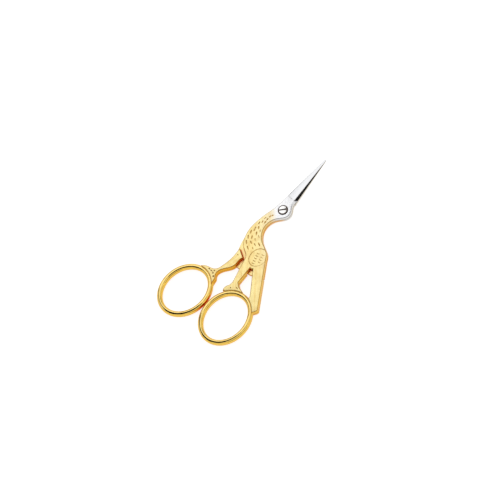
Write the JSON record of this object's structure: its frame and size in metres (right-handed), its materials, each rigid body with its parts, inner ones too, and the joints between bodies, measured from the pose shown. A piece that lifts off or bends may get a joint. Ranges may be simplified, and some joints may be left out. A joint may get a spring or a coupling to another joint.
{
  "type": "embroidery scissors",
  "caption": "Small embroidery scissors shaped like a stork, with slim pointed blades as its bill, a slotted pivot screw as its eye and oval finger rings, gold plated below the screw.",
  "frame": {"origin": "on the pivot axis, in the plane of the rear half's flat outer face, which rests on the table", "axes": "+Y along the closed blades to the tips, +Z along the pivot axis from the rear half to the screw head, +X to the right as seen from the screw head"},
  "size_m": [0.0438, 0.0916, 0.0041],
  "materials": {
    "gilt_steel": "forged steel, bright polished; gold plated below the screw and bare from the screw to the tips",
    "screw_steel": "polished steel"
  },
  "bodies": {
    "rear": {"rear_half": "gilt_steel", "pivot_screw": "screw_steel"},
    "front": {"front_half": "gilt_steel"}
  },
  "joints": [
    {"name": "blade_pivot", "type": "hinge", "parent": "rear", "child": "front", "pos_m": [0, 0, 0.0018], "axis": [0, 0, 1], "range_deg": [0, 50]}
  ]
}
